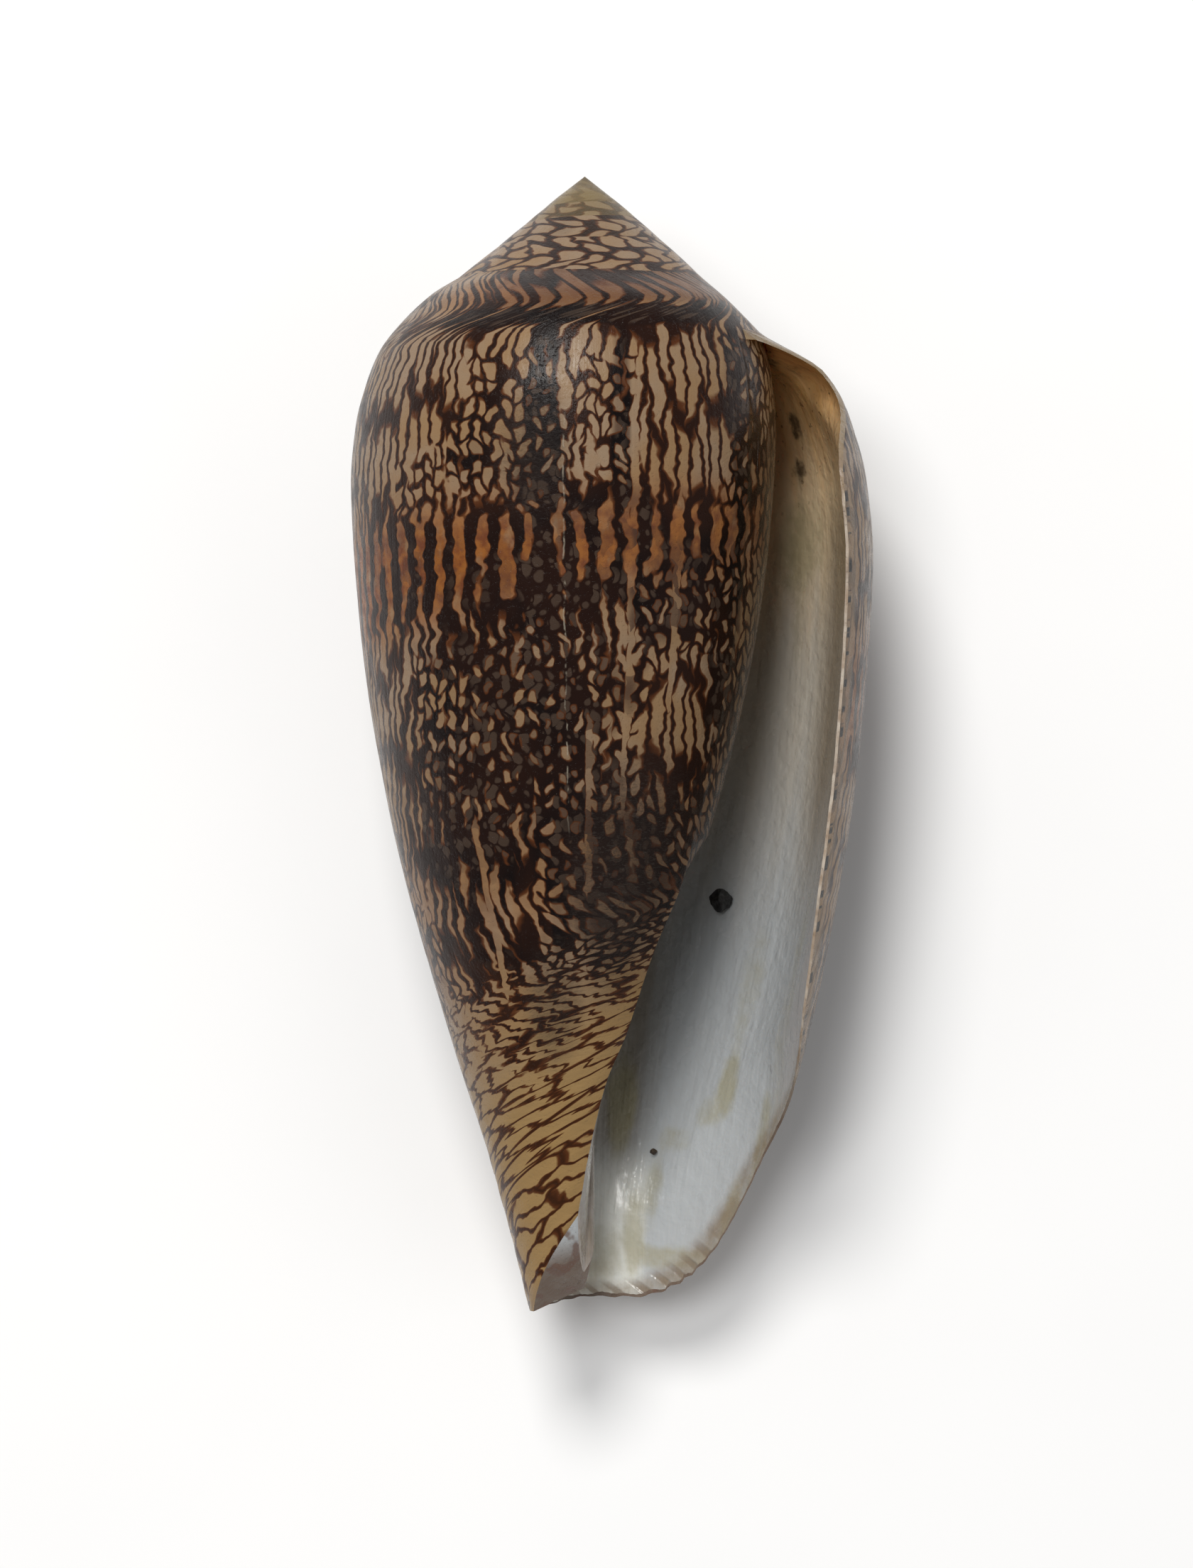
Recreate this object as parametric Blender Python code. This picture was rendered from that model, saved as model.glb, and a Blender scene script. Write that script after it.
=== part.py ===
"""A cone shell lying on its back with the aperture up, in metres.

The shell is one logarithmic spiral wall. Angles are growth angles in degrees: 0 is the edge of
the outer lip and smaller angles are older shell. A level is a distance along the axis from the
apex at the size that the spiral has at the lip, and a height is that distance on the real shell.
"""

import bisect
import math

import bmesh
import bpy
from mathutils import Matrix, Vector

MM = 0.001

# The spiral
WHORL_GROWTH = 1.50
LIP_AZIMUTH = 30.0
SUTURE_LEVEL = 7.85
SUTURE_SWAY = 0.80
SUTURE_SWAY_PHASE = 25.0
SWAY_FADE = 0.4
SUTURE_BLEND = 2.2
FLUSH_FROM = 330.0
FLUSH_SPAN = 60.0
SPIRE_BULGE = 0.12
APEX_HEIGHT = 0.12

# Half profile of the last whorl in mm, as (level, radius): ramp, shoulder, flank, anterior end
PROFILE = [
    (5.0, 5.40), (7.05, 8.36), (8.25, 10.35), (10.2, 12.45), (12.0, 13.8), (14.0, 14.6),
    (16.8, 15.3), (20.6, 15.62), (23.8, 15.52), (29.5, 15.1), (35.2, 14.4), (40.9, 13.4),
    (46.5, 12.15), (52.2, 10.55), (57.9, 8.8), (63.6, 6.9), (69.3, 5.2), (76.1, 3.4), (79.0, 2.5),
]
COLUMELLA_TIP = 58.8

# How far the growing edge trails behind the lip, as (level, degrees), and the notch at the shoulder
EDGE_TRAIL = [
    (38.0, 0.0), (44.0, 4.0), (48.0, 13.0), (51.0, 25.0), (54.0, 36.0), (57.0, 43.0),
    (60.0, 50.5), (62.5, 61.0), (65.3, 81.0), (66.9, 100.0), (68.3, 119.0), (71.3, 152.0),
    (76.1, 210.0),
]
NOTCH_LEVEL = 11.2
NOTCH_WIDTH = 2.8
NOTCH_DEPTH = 24.0
NOTCH_FADE = 75.0

# The wall and the hollow behind the lip
WALL = 1.15
LIP_EDGE = 0.45
EDGE_TAPER = 24.0
STEEPEST_RAMP = 2.2
PARIETAL_LIFT = 1.002
COLUMELLA_RADIUS = 0.5
COLUMELLA_TURN = 34.0
FRONT_REACH = 6.0
HOLLOW_TOP = 1.25
HOLLOW_BOTTOM = 62.5
# Where the hollow ends on the front of the body whorl and deep inside, as (height, degrees)
INNER_LIP = [
    (9.0, 6.0), (37.0, 8.0), (40.5, 18.0), (45.1, 29.0), (47.6, 42.0), (49.9, 50.0),
    (52.2, 58.0), (54.1, 65.0), (56.8, 80.0), (59.2, 122.0), (60.1, 150.0), (62.5, 168.0),
]
HOLLOW_END = [(9.0, -238.0), (30.0, -240.0), (46.0, -226.0), (54.0, -210.0), (62.5, -214.0)]
EXCAVATION = [(35.0, 0.0), (49.0, 1.0)]

# Mesh densities
COLUMNS = 60
SPIRE_WHORLS = 5
RAMP_ROWS = 3
FLANK_ROWS = 11
END_ROWS = 22
SHOULDER_CROWDING = 1.5
END_CROWDING = 0.6
SLICES = 24
SLICE_STEPS = 28

# Resting pose, and the worn flat spot under the back of the shell
PITCH = 4.4
ROLL = 0.0
FLAT_DEPTH = 0.22

# Grains of sand stuck inside the aperture, as (name, radius in mm, height, degrees)
GRAINS = [("sand_grain_large", 0.50, 38.5, -74.0), ("sand_grain_small", 0.17, 52.0, -86.0)]
GRAIN_GAP = 0.12


def smooth(t):
    t = min(1.0, max(0.0, t))
    return t * t * (3.0 - 2.0 * t)


def curve(points, x):
    """Monotone cubic through the points, flat beyond both ends."""
    xs = [p[0] for p in points]
    if x <= xs[0]:
        return points[0][1]
    if x >= xs[-1]:
        return points[-1][1]

    def rise(k):
        return (points[k + 1][1] - points[k][1]) / (xs[k + 1] - xs[k])

    def slope(k):
        if k == 0:
            return rise(0)
        if k == len(points) - 1:
            return rise(k - 1)
        left, right = rise(k - 1), rise(k)
        return 0.0 if left * right <= 0.0 else 2.0 * left * right / (left + right)

    i = bisect.bisect_right(xs, x) - 1
    step = xs[i + 1] - xs[i]
    t = (x - xs[i]) / step
    a, b = points[i][1], points[i + 1][1]
    m, n = slope(i) * step, slope(i + 1) * step
    return ((2 * a - 2 * b + m + n) * t + 3 * b - 3 * a - 2 * m - n) * t * t + m * t + a


def growth(angle):
    return WHORL_GROWTH ** (angle / 360.0)


def suture(angle):
    """Level at which the whorl leaves the one before it. The older whorls sway less."""
    sway = SUTURE_SWAY * SWAY_FADE ** max(0.0, -angle / 360.0 - 0.5)
    return SUTURE_LEVEL + sway * math.cos(math.radians(angle + SUTURE_SWAY_PHASE))


def sheet_radius(level, angle):
    """Radius of the outer face at lip size. It starts exactly on the whorl before it."""
    radius = curve(PROFILE, level)
    start = suture(angle)
    if level < start + SUTURE_BLEND:
        miss = curve(PROFILE, start) - curve(PROFILE, WHORL_GROWTH * start) / WHORL_GROWTH
        radius -= miss * (1.0 - smooth((level - start) / SUTURE_BLEND))
    # The older whorls lie flush, as one nearly straight cone.
    seam = WHORL_GROWTH * suture(angle + 360.0)
    flush = smooth((-angle - FLUSH_FROM) / FLUSH_SPAN)
    if flush > 0.0 and level < seam:
        first, end = curve(PROFILE, WHORL_GROWTH * start) / WHORL_GROWTH, curve(PROFILE, seam)
        straight = first + (end - first) * (level - start) / (seam - start)
        radius += (straight - radius) * flush * (1.0 - SPIRE_BULGE)
    return radius


def sheet_at(height, angle):
    size = growth(angle)
    return size * sheet_radius(height / size, angle)


def placed(radius, height, angle):
    azimuth = math.radians(angle + LIP_AZIMUTH)
    return Vector((radius * math.cos(azimuth), -height, radius * math.sin(azimuth))) * MM


def edge_trail(level, column):
    """Degrees by which a growth line lies behind its place on the flank."""
    near = 1.0 - smooth(-column / NOTCH_FADE)
    across = (level - NOTCH_LEVEL) / NOTCH_WIDTH
    return curve(EDGE_TRAIL, level) + NOTCH_DEPTH * near * math.exp(-across * across)


def sheet_point(level, column):
    angle = column - edge_trail(level, column)
    size = growth(angle)
    return placed(size * sheet_radius(level, angle), size * level, angle)


def column_levels(column, whole):
    """Levels down one growth line: the ramp, then the flank if it isn't covered.

    The rows crowd at the shoulder and where the growth lines trail back.
    """
    start = suture(column)
    seam = WHORL_GROWTH * suture(column + 360.0)
    levels = [start + (seam - start) * k / RAMP_ROWS for k in range(RAMP_ROWS + 1)]
    if whole:
        bend, end = EDGE_TRAIL[0][0], EDGE_TRAIL[-1][0]
        shares = [(k / FLANK_ROWS) ** SHOULDER_CROWDING for k in range(1, FLANK_ROWS + 1)]
        levels += [seam + (bend - seam) * share for share in shares]
        shares = [(k / END_ROWS) ** END_CROWDING for k in range(1, END_ROWS + 1)]
        levels += [bend + (end - bend) * share for share in shares]
    return levels


def mesh_object(name, bm, collection):
    bmesh.ops.triangulate(bm, faces=bm.faces, quad_method="SHORT_EDGE")
    bmesh.ops.recalc_face_normals(bm, faces=bm.faces)
    mesh = bpy.data.meshes.new(name)
    bm.to_mesh(mesh)
    bm.free()
    obj = bpy.data.objects.new(name, mesh)
    collection.objects.link(obj)
    return obj


def filled_spiral():
    """The spiral as one filled solid: spire, body whorl and the step down at the lip."""
    bm = bmesh.new()
    last = SPIRE_WHORLS * COLUMNS
    grid = []
    for i in range(last + 1):
        column = (i - last) * 360.0 / COLUMNS
        levels = column_levels(column, i >= last - COLUMNS)
        line = [bm.verts.new(sheet_point(level, column)) for level in levels[1:]]
        # A whorl starts on the seam row of the whorl before it.
        first = grid[i - COLUMNS][RAMP_ROWS] if i >= COLUMNS else None
        line.insert(0, first or bm.verts.new(sheet_point(levels[0], column)))
        grid.append(line)
    for a, b in zip(grid, grid[1:]):
        for row in range(min(len(a), len(b)) - 1):
            bm.faces.new((a[row], a[row + 1], b[row + 1], b[row]))
    new, old = grid[last], grid[last - COLUMNS]
    for row in range(1, RAMP_ROWS):
        bm.faces.new((new[0], new[row], new[row + 1]))
    for row in range(RAMP_ROWS, len(new) - 1):
        corners = (new[row], new[row + 1], old[row + 1], old[row])
        bm.faces.new(corners)
    tip = bm.verts.new(placed(0.0, COLUMELLA_TIP, 0.0))
    for a, b in zip(grid[last - COLUMNS:], grid[last - COLUMNS + 1:]):
        bm.faces.new((a[-1], tip, b[-1]))
    bm.faces.new((new[-1], tip, old[-1]))
    apex = bm.verts.new(placed(0.0, APEX_HEIGHT, 0.0))
    for a, b in zip(grid[:COLUMNS], grid[1:]):
        bm.faces.new((a[0], b[0], apex))
    for upper, lower in zip(grid[0][:RAMP_ROWS], grid[0][1:]):
        bm.faces.new((lower, upper, apex))
    return bm


def wall_thickness(height, angle):
    level = height / growth(angle)
    behind = -angle - edge_trail(level, 0.0)
    return LIP_EDGE + (WALL - LIP_EDGE) * smooth(behind / EDGE_TAPER)


def hollow_outside(height, angle):
    """Radius of the glossy inner face of the outer wall."""
    reach = 0.2
    lean = (sheet_at(height + reach, angle) - sheet_at(height - reach, angle)) / (2 * reach)
    lean = min(abs(lean), STEEPEST_RAMP)
    return sheet_at(height, angle) - wall_thickness(height, angle) * math.sqrt(1 + lean * lean)


def hollow_inside(height, angle, front):
    """Radius of the whorl inside, which is cut back to the columella at the anterior end."""
    whorl = sheet_at(height, angle - 360.0)
    turn = (front - angle) / COLUMELLA_TURN
    if turn < 0.0:
        return whorl * (PARIETAL_LIFT - turn)
    turn = min(turn, 1.0)
    cut = curve(EXCAVATION, height) * turn * (2.0 - turn)
    return whorl * PARIETAL_LIFT * (1.0 - cut) + COLUMELLA_RADIUS * cut


def slice_loop(share):
    """One outline of the hollow: in along the inner whorl, and out along the outer wall."""
    top = suture(0.0) + HOLLOW_TOP
    middle = top + (HOLLOW_BOTTOM - top) * share
    inner_lip, deep = curve(INNER_LIP, middle), curve(HOLLOW_END, middle)
    front = inner_lip + FRONT_REACH
    inner, outer = [], []
    for k in range(SLICE_STEPS + 1):
        along = k / SLICE_STEPS
        angle = front + (deep - front) * along
        here = growth(angle) * (suture(angle) + HOLLOW_TOP)
        height = here + (HOLLOW_BOTTOM - here) * share
        a, b = hollow_inside(height, angle, inner_lip), hollow_outside(height, angle)
        b = max(b, a + 0.1)
        # The deep end is rounded.
        narrow = 0.5 * (b - a) * (1.0 - math.sqrt(1.0 - max(0.0, along * 8 - 7) ** 2))
        inner.append(placed(a + narrow, height, angle))
        outer.append(placed(b - narrow, height, angle))
    return inner + outer[-2::-1]


def hollow():
    bm = bmesh.new()
    loops = []
    for k in range(SLICES + 1):
        share = (k / SLICES) ** 1.15
        loops.append([bm.verts.new(point) for point in slice_loop(share)])
    for a, b in zip(loops, loops[1:]):
        for k in range(len(a)):
            bm.faces.new((a[k - 1], a[k], b[k], b[k - 1]))
    # Each end is closed by quads across the slice.
    for loop in (loops[0], loops[-1]):
        for k in range(SLICE_STEPS):
            corners = (loop[k], loop[k + 1], loop[-2 - k], loop[-1 - k])
            bm.faces.new(dict.fromkeys(corners))
    return bm


def apply_boolean(target, cutter, operation="DIFFERENCE"):
    modifier = target.modifiers.new(cutter.name, "BOOLEAN")
    modifier.operation = operation
    modifier.object = cutter
    modifier.solver = "EXACT"


def material(name, colour, roughness):
    made = bpy.data.materials.new(name)
    made.use_nodes = True
    shader = made.node_tree.nodes["Principled BSDF"]
    shader.inputs["Base Color"].default_value = (*colour, 1.0)
    shader.inputs["Roughness"].default_value = roughness
    shader.inputs["Metallic"].default_value = 0.0
    return made


def sand_grain(name, radius, height, angle, pose, collection):
    """A small rough grain just clear of the inner face of the outer wall."""
    bm = bmesh.new()
    bmesh.ops.create_icosphere(bm, subdivisions=1, radius=radius * MM)
    for k, vert in enumerate(bm.verts):
        vert.co *= 1.0 + 0.14 * math.sin(2.3 * k + radius)
    away = hollow_outside(height, angle) - 1.2 * radius - GRAIN_GAP
    bmesh.ops.translate(bm, verts=bm.verts, vec=placed(away, height, angle))
    bmesh.ops.transform(bm, matrix=pose, verts=bm.verts)
    grain = mesh_object(name, bm, collection)
    grain.data.materials.append(material(name, (0.02, 0.018, 0.016), 0.8))


def main():
    for obj in list(bpy.data.objects):
        bpy.data.objects.remove(obj, do_unlink=True)
    scene = bpy.context.scene
    parts = bpy.data.collections.new("cone_shell")
    cutters = bpy.data.collections.new("cutters")
    scene.collection.children.link(parts)
    scene.collection.children.link(cutters)

    pose = Matrix.Rotation(math.radians(PITCH), 4, "X") @ Matrix.Rotation(math.radians(ROLL), 4, "Y")
    body = filled_spiral()
    bmesh.ops.transform(body, matrix=pose, verts=body.verts)
    lowest = min(vert.co.z for vert in body.verts) + FLAT_DEPTH * MM
    middle = 0.5 * (min(v.co.y for v in body.verts) + max(v.co.y for v in body.verts))
    across = 0.5 * (min(v.co.x for v in body.verts) + max(v.co.x for v in body.verts))
    pose = Matrix.Translation((-across, -middle, -lowest)) @ pose
    bmesh.ops.translate(body, verts=body.verts, vec=(-across, -middle, -lowest))
    shell = mesh_object("shell", body, parts)
    shell.data.materials.append(material("shell", (0.30, 0.19, 0.11), 0.35))

    room = hollow()
    bmesh.ops.transform(room, matrix=pose, verts=room.verts)
    room = mesh_object("hollow_cutter", room, cutters)
    under = bmesh.new()
    bmesh.ops.create_cube(under, size=100 * MM)
    bmesh.ops.translate(under, verts=under.verts, vec=(0.0, 0.0, -50 * MM))
    under = mesh_object("flat_spot_cutter", under, cutters)
    for cutter in (room, under):
        cutter.hide_render = True
        cutter.display_type = "WIRE"
        apply_boolean(shell, cutter)

    for name, radius, height, angle in GRAINS:
        sand_grain(name, radius, height, angle, pose, parts)


main()
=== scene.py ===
import bisect
import math

import bmesh
import bpy
import numpy as np
from mathutils import Matrix, Vector, noise


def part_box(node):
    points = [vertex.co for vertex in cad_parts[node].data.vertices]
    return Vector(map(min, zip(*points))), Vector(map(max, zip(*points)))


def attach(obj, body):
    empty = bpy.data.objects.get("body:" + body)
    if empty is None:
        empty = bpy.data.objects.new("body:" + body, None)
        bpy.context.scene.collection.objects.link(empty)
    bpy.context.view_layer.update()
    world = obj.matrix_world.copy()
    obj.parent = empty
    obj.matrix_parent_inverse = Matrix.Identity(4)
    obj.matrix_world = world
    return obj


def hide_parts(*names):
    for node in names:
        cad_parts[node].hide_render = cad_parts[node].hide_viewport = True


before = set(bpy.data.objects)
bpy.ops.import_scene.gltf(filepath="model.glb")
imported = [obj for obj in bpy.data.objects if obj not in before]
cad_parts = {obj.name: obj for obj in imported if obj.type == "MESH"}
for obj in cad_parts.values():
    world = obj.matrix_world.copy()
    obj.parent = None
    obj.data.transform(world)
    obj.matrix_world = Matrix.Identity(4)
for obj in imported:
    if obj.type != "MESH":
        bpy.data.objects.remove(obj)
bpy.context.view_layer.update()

mm = 0.001
print("frame loaded")


# the spiral, the same one that the solid was made from: angles in degrees back from the lip,
# and levels, which are heights along the axis over the growth up to their angle, in mm

spiral = {
    "whorlGrowth": 1.5,
    "lipAzimuth": 30.0,
    "sutureLevel": 7.85,
    "sutureSway": 0.8,
    "swayPhase": 25.0,
    "swayFade": 0.4,
    "sutureBlend": 2.2,
    "flushFrom": 330.0,
    "spireBulge": 0.12,
    "apexHeight": 0.12,
    "columellaTip": 58.8,
    "tilt": 4.4,
    "place": (-1.393, 30.0068, 14.9548),
    # half profile of the last whorl in mm: level along the axis, radius
    "profile": [
        (5.0, 5.4), (7.05, 8.36), (8.25, 10.35), (10.2, 12.45), (12.0, 13.8), (14.0, 14.6),
        (16.8, 15.3), (20.6, 15.62), (23.8, 15.52), (29.5, 15.1), (35.2, 14.4), (40.9, 13.4),
        (46.5, 12.15), (52.2, 10.55), (57.9, 8.8), (63.6, 6.9), (69.3, 5.2), (76.1, 3.4),
        (79.0, 2.5),
    ],
    # degrees that the growing edge trails behind the lip
    "trail": [
        (38.0, 0.0), (44.0, 4.0), (48.0, 13.0), (51.0, 25.0), (54.0, 36.0), (57.0, 43.0),
        (60.0, 50.5), (62.5, 61.0), (65.3, 81.0), (66.9, 100.0), (68.3, 119.0), (71.3, 152.0),
        (76.1, 210.0),
    ],
    "notchLevel": 11.2,
    "notchWidth": 2.8,
    "notchDepth": 24.0,
    "notchFade": 75.0,
}

hollowShape = {
    "wall": 1.15,
    "lipEdge": [(10.0, 0.16), (46.0, 0.15), (56.0, 0.06), (76.0, 0.03)],
    "edgeTaper": 5.0,
    "steepestRamp": 2.2,
    "parietalLift": 0.9985,
    "columellaRadius": 0.5,
    "columellaTurn": 34.0,
    "frontReach": 6.0,
    "top": 0.55,
    "bottom": 62.5,
    # where the hollow meets the body whorl in front, and where it ends deep inside
    "innerLip": [
        (9.0, 6.0), (37.0, 8.0), (40.5, 18.0), (45.1, 29.0), (47.6, 42.0), (49.9, 50.0),
        (52.2, 58.0), (54.1, 65.0), (56.8, 80.0), (59.2, 122.0), (60.1, 150.0), (62.5, 168.0),
    ],
    "deepEnd": [(9.0, -238.0), (30.0, -240.0), (46.0, -226.0), (54.0, -210.0), (62.5, -214.0)],
    "excavation": [(35.0, 0.0), (49.0, 1.0)],
    "glazeFrom": 41.5,
}

meshDetail = {
    "columns": 240,
    "spireWhorls": 5,
    "rampRows": 10,
    "flankRows": 44,
    "endRows": 124,
    "flankSpacing": 1.3,
    "endSpacing": 0.6,
    "slices": 96,
    "sliceSpacing": 1.15,
    "sliceSteps": 100,
    "growthRidge": 0.018,
    "swell": 0.035,
    "reliefFade": 1.2,
    "endCords": 0.02,
    "lipWear": 0.35,
    # blunt teeth along the end of the lip, as waves over the level
    "lipTeeth": 0.8,
    "toothMiddle": 65.0,
    "toothReach": 5.0,
    "toothPitch": 5.6,
    "toothSway": 0.8,
    "toothSwayPitch": 1.3,
}

# the order of the materials on the shell
finishNumber = {"outside": 0, "inside": 1, "lip": 2}


def smooth(t):
    t = min(1.0, max(0.0, t))
    return t * t * (3.0 - 2.0 * t)


def curve(points, x):
    # monotone cubic, flat beyond both ends
    xs = [p[0] for p in points]
    if x <= xs[0]:
        return points[0][1]
    if x >= xs[-1]:
        return points[-1][1]

    def rise(k):
        return (points[k + 1][1] - points[k][1]) / (xs[k + 1] - xs[k])

    def slope(k):
        if k == 0:
            return rise(0)
        if k == len(points) - 1:
            return rise(k - 1)
        left, right = rise(k - 1), rise(k)
        return 0.0 if left * right <= 0.0 else 2.0 * left * right / (left + right)

    i = bisect.bisect_right(xs, x) - 1
    step = xs[i + 1] - xs[i]
    t = (x - xs[i]) / step
    a, b = points[i][1], points[i + 1][1]
    m, n = slope(i) * step, slope(i + 1) * step
    return ((2 * a - 2 * b + m + n) * t + 3 * b - 3 * a - 2 * m - n) * t * t + m * t + a


def growth(angle):
    return spiral["whorlGrowth"] ** (angle / 360.0)


def sutureAt(angle):
    sway = spiral["sutureSway"] * spiral["swayFade"] ** max(0.0, -angle / 360.0 - 0.5)
    return spiral["sutureLevel"] + sway * math.cos(math.radians(angle + spiral["swayPhase"]))


def sheetRadius(level, angle):
    radius = curve(spiral["profile"], level)
    start = sutureAt(angle)
    grown = spiral["whorlGrowth"]
    seam = grown * sutureAt(angle + 360.0)
    if level < start + spiral["sutureBlend"]:
        miss = curve(spiral["profile"], start) - curve(spiral["profile"], grown * start) / grown
        radius -= miss * (1.0 - smooth((level - start) / spiral["sutureBlend"]))
    older = smooth((-angle - spiral["flushFrom"]) / 60.0)
    if older > 0.0 and level < seam:
        # the older whorls lie flush, as one straight cone
        first = curve(spiral["profile"], grown * start) / grown
        end = curve(spiral["profile"], seam)
        straight = first + (end - first) * (level - start) / (seam - start)
        radius += (straight - radius) * older * (1.0 - spiral["spireBulge"])
    return radius


def sheetAt(height, angle):
    size = growth(angle)
    return size * sheetRadius(height / size, angle)


def placed(radius, height, angle):
    azimuth = math.radians(angle + spiral["lipAzimuth"])
    return (radius * math.cos(azimuth), -height, radius * math.sin(azimuth))


def edgeTrail(level, column):
    near = 1.0 - smooth(-column / spiral["notchFade"])
    across = (level - spiral["notchLevel"]) / spiral["notchWidth"]
    notch = spiral["notchDepth"] * near * math.exp(-across * across)
    # the very edge is a little chipped
    worn = max(0.0, 1.0 + column / 4.0)
    if worn > 0.0:
        notch += meshDetail["lipWear"] * worn * (1.0 + noise.noise(Vector((level * 1.7, 0.3, 0.0))))
        teeth = math.exp(-((level - meshDetail["toothMiddle"]) / meshDetail["toothReach"]) ** 2)
        sway = meshDetail["toothSway"] * math.sin(level * meshDetail["toothSwayPitch"])
        wave = math.sin(level * meshDetail["toothPitch"] + sway)
        notch += meshDetail["lipTeeth"] * worn * teeth * wave
    return curve(spiral["trail"], level) + notch


def relief(level, column):
    # fine growth ridges over a slow swell, in mm
    ridge = noise.noise(Vector((column * 0.55, level * 0.06, 1.7)))
    ridge += 0.5 * noise.noise(Vector((column * 1.3, level * 0.1, 5.1)))
    swell = noise.noise(Vector((column * 0.045, level * 0.11, 9.0)))
    cords = meshDetail["endCords"] * smooth((level - 60.0) / 6.0) * math.sin(level * 3.1)
    return meshDetail["growthRidge"] * ridge + meshDetail["swell"] * swell + cords


def sheetPoint(level, column, seam):
    angle = column - edgeTrail(level, column)
    size = growth(angle)
    fade = smooth((level - seam) / meshDetail["reliefFade"])
    radius = sheetRadius(level, angle) + relief(level, column) * fade
    return placed(size * radius, size * level, angle), (angle / 360.0, level / 100.0)


def columnLevels(column, whole):
    start = sutureAt(column)
    seam = spiral["whorlGrowth"] * sutureAt(column + 360.0)
    rows = meshDetail["rampRows"]
    levels = [start + (seam - start) * k / rows for k in range(rows + 1)]
    if whole:
        bend, end = spiral["trail"][0][0], spiral["trail"][-1][0]
        flank, tail = meshDetail["flankRows"], meshDetail["endRows"]
        # denser near the seam, and where the edge trails most
        steps = [(k / flank) ** meshDetail["flankSpacing"] for k in range(1, flank + 1)]
        levels += [seam + (bend - seam) * step for step in steps]
        steps = [(k / tail) ** meshDetail["endSpacing"] for k in range(1, tail + 1)]
        levels += [bend + (end - bend) * step for step in steps]
    return levels


def coiledSolid():
    # the filled spiral: points, faces, growthMap places of their corners, and finish of each face
    verts, faces, places, looks = [], [], [], []
    columns, rampRows = meshDetail["columns"], meshDetail["rampRows"]
    last = meshDetail["spireWhorls"] * columns
    grid = []

    def corner(point, spot):
        verts.append(point)
        return len(verts) - 1, spot

    def face(*corners, finish="outside"):
        kept = list(dict.fromkeys(corners))
        if len({c[0] for c in kept}) < 3:
            return
        faces.append([c[0] for c in kept])
        places.extend(c[1] for c in kept)
        looks.append(finishNumber[finish])

    for i in range(last + 1):
        column = (i - last) * 360.0 / columns
        levels = columnLevels(column, i >= last - columns)
        line = [corner(*sheetPoint(level, column, levels[0])) for level in levels[1:]]
        point, spot = sheetPoint(levels[0], column, levels[0])
        if i >= columns:
            line.insert(0, (grid[i - columns][rampRows][0], spot))
        else:
            line.insert(0, corner(point, spot))
        grid.append(line)
    # the outside, then the lip face from the seam down
    for a, b in zip(grid, grid[1:]):
        for row in range(min(len(a), len(b)) - 1):
            face(a[row], a[row + 1], b[row + 1])
            face(a[row], b[row + 1], b[row])
    new, old = grid[last], grid[last - columns]
    for row in range(1, rampRows):
        face(new[0], new[row], new[row + 1], finish="lip")
    for row in range(rampRows, len(new) - 1):
        face(new[row], new[row + 1], old[row + 1], finish="lip")
        face(new[row], old[row + 1], old[row], finish="lip")
    # the end of the axis, and the apex
    tip = corner(placed(0.0, spiral["columellaTip"], 0.0), (-0.6, 0.76))
    for a, b in zip(grid[last - columns:], grid[last - columns + 1:]):
        face(a[-1], tip, b[-1], finish="lip")
    face(new[-1], tip, old[-1])
    apex = corner(placed(0.0, spiral["apexHeight"], 0.0), (-5.0, 0.05))
    for a, b in zip(grid[:columns], grid[1:]):
        face(a[0], b[0], apex)
    for upper, lower in zip(grid[0][:rampRows], grid[0][1:]):
        face(lower, upper, apex)
    return verts, faces, places, looks


def wallThickness(height, angle):
    level = height / growth(angle)
    across = (level - spiral["notchLevel"]) / spiral["notchWidth"]
    notch = spiral["notchDepth"] * math.exp(-across * across)
    turned = math.radians(-angle - curve(spiral["trail"], level) - notch)
    radius = curve(spiral["profile"], level)
    lean = radius * math.radians(curve(spiral["trail"], level + 0.5) - curve(spiral["trail"], level - 0.5))
    behind = turned * radius / math.sqrt(1.0 + lean * lean)
    edge = curve(hollowShape["lipEdge"], level)
    return edge + (hollowShape["wall"] - edge) * smooth(behind / hollowShape["edgeTaper"])


def hollowOutside(height, angle):
    reach = 0.2
    lean = (sheetAt(height + reach, angle) - sheetAt(height - reach, angle)) / (2 * reach)
    lean = min(abs(lean), hollowShape["steepestRamp"])
    return sheetAt(height, angle) - wallThickness(height, angle) * math.sqrt(1 + lean * lean)


def hollowInside(height, angle, front):
    whorl = sheetAt(height, angle - 360.0)
    turn = (front - angle) / hollowShape["columellaTurn"]
    if turn < 0.0:
        return whorl * (hollowShape["parietalLift"] - turn)
    turn = min(turn, 1.0)
    cut = curve(hollowShape["excavation"], height) * turn * (2.0 - turn)
    kept = whorl * hollowShape["parietalLift"] * (1.0 - cut)
    return kept + hollowShape["columellaRadius"] * cut


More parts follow.
